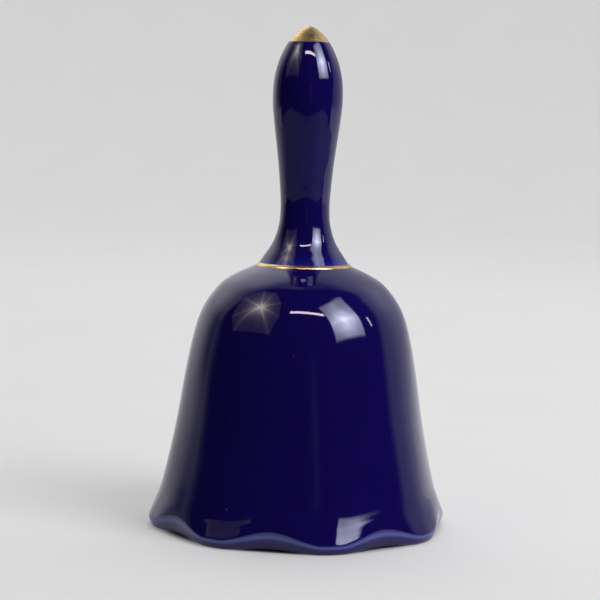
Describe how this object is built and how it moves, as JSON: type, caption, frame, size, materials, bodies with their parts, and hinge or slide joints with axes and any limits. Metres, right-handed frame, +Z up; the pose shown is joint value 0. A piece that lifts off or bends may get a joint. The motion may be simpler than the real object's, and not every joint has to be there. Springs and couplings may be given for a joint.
{
  "type": "porcelain hand bell",
  "caption": "Glazed porcelain table bell with a turned handle, gilt point and gold line, fluted body on a scalloped rim, and a bead clapper hung inside from a ring.",
  "frame": {"origin": "centre of the plane that the rim stands on", "axes": "+Z up along the bell's axis to the tip of the handle; +X, +Y and every 45 degrees between them point at the middle of a rim lobe; the staple lies in the XZ plane"},
  "size_m": [0.0848, 0.0848, 0.14],
  "materials": {
    "cobalt_glaze": "cobalt blue high-gloss glaze over porcelain, lighter where it thins at the rim; clear glaze over white inside; bare foot",
    "gilt": "burnished gold, slightly brushed by hand",
    "plaster": "matt cast plaster",
    "brass_wire": "drawn brass wire, lightly tarnished",
    "white_glaze": "white glossy glaze"
  },
  "bodies": {
    "bell": {"bell_skirt": "cobalt_glaze", "handle": "cobalt_glaze", "tip_gilding": "gilt", "neck_gilding": "gilt", "crown_plug": "plaster", "hanger_staple": "brass_wire"},
    "ring": {"hanger_ring": "brass_wire"},
    "clapper": {"clapper_pin": "brass_wire", "clapper_collar_top": "brass_wire", "clapper_collar_bottom": "brass_wire"},
    "bead": {"clapper_bead": "white_glaze"}
  },
  "joints": [
    {"name": "ring_swing", "type": "hinge", "parent": "bell", "child": "ring", "pos_m": [0, 0, 0.0644], "axis": [1, 0, 0], "range_deg": [-27, 27]},
    {"name": "clapper_swing", "type": "hinge", "parent": "ring", "child": "clapper", "pos_m": [0, 0, 0.05885], "axis": [0, 1, 0], "range_deg": [-10, 10]},
    {"name": "bead_spin", "type": "hinge", "parent": "clapper", "child": "bead", "pos_m": [0, 0, 0.018], "axis": [0, 0, 1], "continuous": true}
  ]
}
